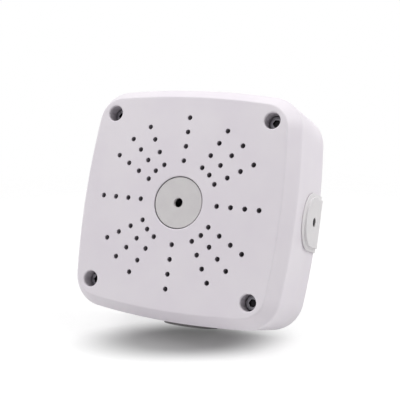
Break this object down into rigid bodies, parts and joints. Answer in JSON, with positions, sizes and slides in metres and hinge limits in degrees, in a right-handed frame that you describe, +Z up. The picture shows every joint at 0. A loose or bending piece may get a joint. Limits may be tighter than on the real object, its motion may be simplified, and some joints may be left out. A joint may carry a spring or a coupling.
{
  "type": "camera junction box",
  "caption": "Square wall box with a bevelled front plate of camera screw holes, rubber cable plugs and corner screws, over a flat back plate.",
  "frame": {"origin": "centre of the wall screw pattern on the back face", "axes": "+Y into the wall, so the front looks along -Y; +Z up, +X to the right seen from the front"},
  "size_m": [0.1416, 0.0525, 0.1393],
  "materials": {
    "shell": "satin, moulded",
    "plate": "satin, moulded",
    "plug_rubber": "soft, matt",
    "gasket_rubber": "soft, matt",
    "screw_steel": "turned",
    "insert_brass": "turned"
  },
  "bodies": {
    "base": {"back_plate": "plate", "cover_gasket": "gasket_rubber", "rear_grommet": "plug_rubber", "screw_insert_top_right": "insert_brass", "screw_insert_top_left": "insert_brass", "screw_insert_bottom_left": "insert_brass", "screw_insert_bottom_right": "insert_brass"},
    "cover": {"front_shell": "shell"},
    "front_cable_plug": {"centre_plug": "plug_rubber"},
    "right_cable_plug": {"right_plug": "plug_rubber"},
    "bottom_cable_plug": {"bottom_plug": "plug_rubber"},
    "left_cable_plug": {"left_plug": "plug_rubber"},
    "washer_top_right": {"screw_washer_top_right": "gasket_rubber"},
    "screw_top_right": {"cover_screw_top_right": "screw_steel"},
    "washer_top_left": {"screw_washer_top_left": "gasket_rubber"},
    "screw_top_left": {"cover_screw_top_left": "screw_steel"},
    "washer_bottom_left": {"screw_washer_bottom_left": "gasket_rubber"},
    "screw_bottom_left": {"cover_screw_bottom_left": "screw_steel"},
    "washer_bottom_right": {"screw_washer_bottom_right": "gasket_rubber"},
    "screw_bottom_right": {"cover_screw_bottom_right": "screw_steel"}
  },
  "joints": [
    {"name": "cover_lift", "type": "slide", "parent": "base", "child": "cover", "axis": [0, -1, 0], "range_m": [0, 0.06]},
    {"name": "front_plug_pull", "type": "slide", "parent": "cover", "child": "front_cable_plug", "axis": [0, -1, 0], "range_m": [0, 0.015]},
    {"name": "right_plug_pull", "type": "slide", "parent": "cover", "child": "right_cable_plug", "axis": [1, 0, 0], "range_m": [0, 0.012]},
    {"name": "bottom_plug_pull", "type": "slide", "parent": "cover", "child": "bottom_cable_plug", "axis": [0, 0, -1], "range_m": [0, 0.012]},
    {"name": "left_plug_pull", "type": "slide", "parent": "cover", "child": "left_cable_plug", "axis": [-1, 0, 0], "range_m": [0, 0.012]},
    {"name": "screw_rise_top_right", "type": "slide", "parent": "cover", "child": "washer_top_right", "axis": [0, -1, 0], "range_m": [0, 0.016]},
    {"name": "screw_turn_top_right", "type": "hinge", "parent": "washer_top_right", "child": "screw_top_right", "pos_m": [0.0506, -0.042, 0.0506], "axis": [0, -1, 0], "range_deg": [0, 7201]},
    {"name": "screw_rise_top_left", "type": "slide", "parent": "cover", "child": "washer_top_left", "axis": [0, -1, 0], "range_m": [0, 0.016]},
    {"name": "screw_turn_top_left", "type": "hinge", "parent": "washer_top_left", "child": "screw_top_left", "pos_m": [-0.0506, -0.042, 0.0506], "axis": [0, -1, 0], "range_deg": [0, 7201]},
    {"name": "screw_rise_bottom_left", "type": "slide", "parent": "cover", "child": "washer_bottom_left", "axis": [0, -1, 0], "range_m": [0, 0.016]},
    {"name": "screw_turn_bottom_left", "type": "hinge", "parent": "washer_bottom_left", "child": "screw_bottom_left", "pos_m": [-0.0506, -0.042, -0.0506], "axis": [0, -1, 0], "range_deg": [0, 7201]},
    {"name": "screw_rise_bottom_right", "type": "slide", "parent": "cover", "child": "washer_bottom_right", "axis": [0, -1, 0], "range_m": [0, 0.016]},
    {"name": "screw_turn_bottom_right", "type": "hinge", "parent": "washer_bottom_right", "child": "screw_bottom_right", "pos_m": [0.0506, -0.042, -0.0506], "axis": [0, -1, 0], "range_deg": [0, 7201]}
  ],
  "couplings": [
    {"joint": "screw_turn_top_right", "follows": "screw_rise_top_right", "rad_per_m": 7854},
    {"joint": "screw_turn_top_left", "follows": "screw_rise_top_left", "rad_per_m": 7854},
    {"joint": "screw_turn_bottom_left", "follows": "screw_rise_bottom_left", "rad_per_m": 7854},
    {"joint": "screw_turn_bottom_right", "follows": "screw_rise_bottom_right", "rad_per_m": 7854}
  ]
}
